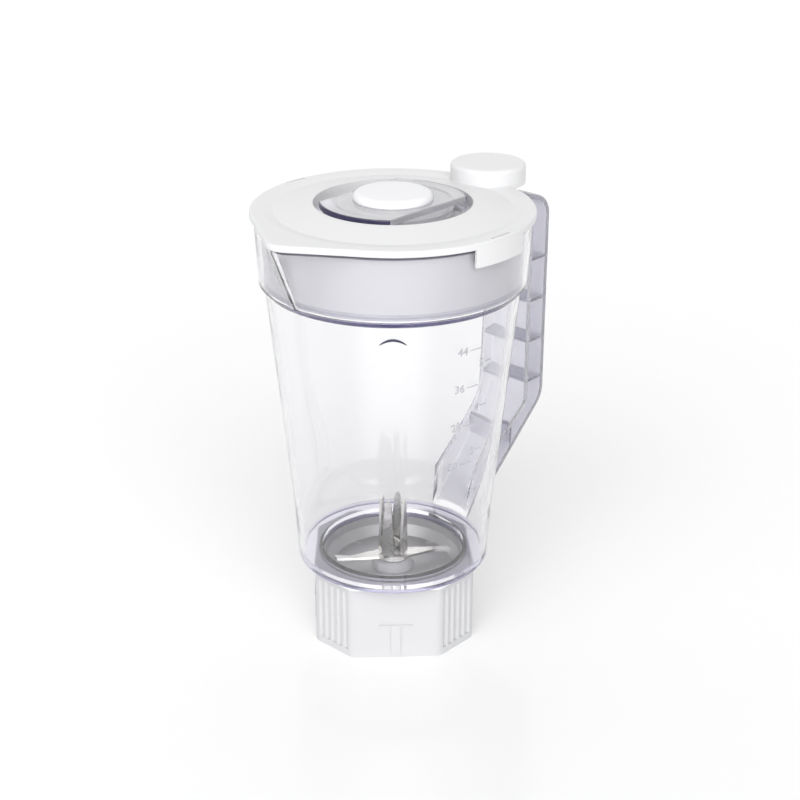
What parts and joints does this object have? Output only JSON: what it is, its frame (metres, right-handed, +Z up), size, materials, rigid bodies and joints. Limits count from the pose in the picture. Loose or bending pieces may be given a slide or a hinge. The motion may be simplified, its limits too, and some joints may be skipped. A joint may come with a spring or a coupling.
{
  "type": "countertop blender jug",
  "caption": "Clear blender jug with ribbed handle, spout, white lid, clear filler cap, steel blade unit and screw-on base collar.",
  "frame": {"origin": "centre of the collar's bottom opening, on the axis of the jug, at the level of the face it stands on", "axes": "+Z up along the jug's axis, +X towards the handle, -X towards the spout"},
  "size_m": [0.1985, 0.1468, 0.2512],
  "materials": {
    "clear_plastic": "clear, glossy",
    "white_plastic": "fine satin, semi-gloss",
    "grey_plastic": "satin",
    "black_plastic": "satin",
    "silicone": "soft satin",
    "polished_steel": "polished stainless steel",
    "brushed_steel": "spun stainless steel",
    "bronze": "sintered bronze",
    "brass": "machined"
  },
  "bodies": {
    "jug": {"jug": "clear_plastic"},
    "lid": {"lid": "white_plastic", "lid_seal": "silicone"},
    "filler_cap": {"filler_cap": "clear_plastic"},
    "blade_unit": {"blade_carrier": "grey_plastic", "steel_dish": "brushed_steel", "jug_gasket": "silicone", "upper_bush": "bronze", "lower_bush": "bronze", "shaft_seal": "silicone"},
    "collar": {"base_collar": "white_plastic"},
    "blades": {"spindle": "brushed_steel", "upper_thrust_washer": "brushed_steel", "lower_thrust_washer": "brushed_steel", "retaining_ring": "brushed_steel", "lower_blade": "polished_steel", "blade_spacer": "brushed_steel", "upper_blade": "polished_steel", "blade_washer": "brushed_steel", "blade_nut": "polished_steel", "drive_coupling": "black_plastic", "coupling_insert": "brass"}
  },
  "joints": [
    {"name": "lid_lift", "type": "slide", "parent": "jug", "child": "lid", "axis": [0, 0, 1], "range_m": [0, 0.06]},
    {"name": "cap_lift", "type": "slide", "parent": "lid", "child": "filler_cap", "axis": [0, 0, 1], "range_m": [0, 0.045]},
    {"name": "blade_unit_drop", "type": "slide", "parent": "jug", "child": "blade_unit", "axis": [0, 0, -1], "range_m": [0, 0.018]},
    {"name": "collar_turn", "type": "hinge", "parent": "blade_unit", "child": "collar", "pos_m": [0, 0, 0.03], "axis": [0, 0, -1], "range_deg": [0, 720]},
    {"name": "blade_spin", "type": "hinge", "parent": "blade_unit", "child": "blades", "pos_m": [0, 0, 0.03], "axis": [0, 0, 1], "continuous": true}
  ],
  "couplings": [
    {"joint": "blade_unit_drop", "follows": "collar_turn", "m_per_rad": 0.0014324}
  ]
}
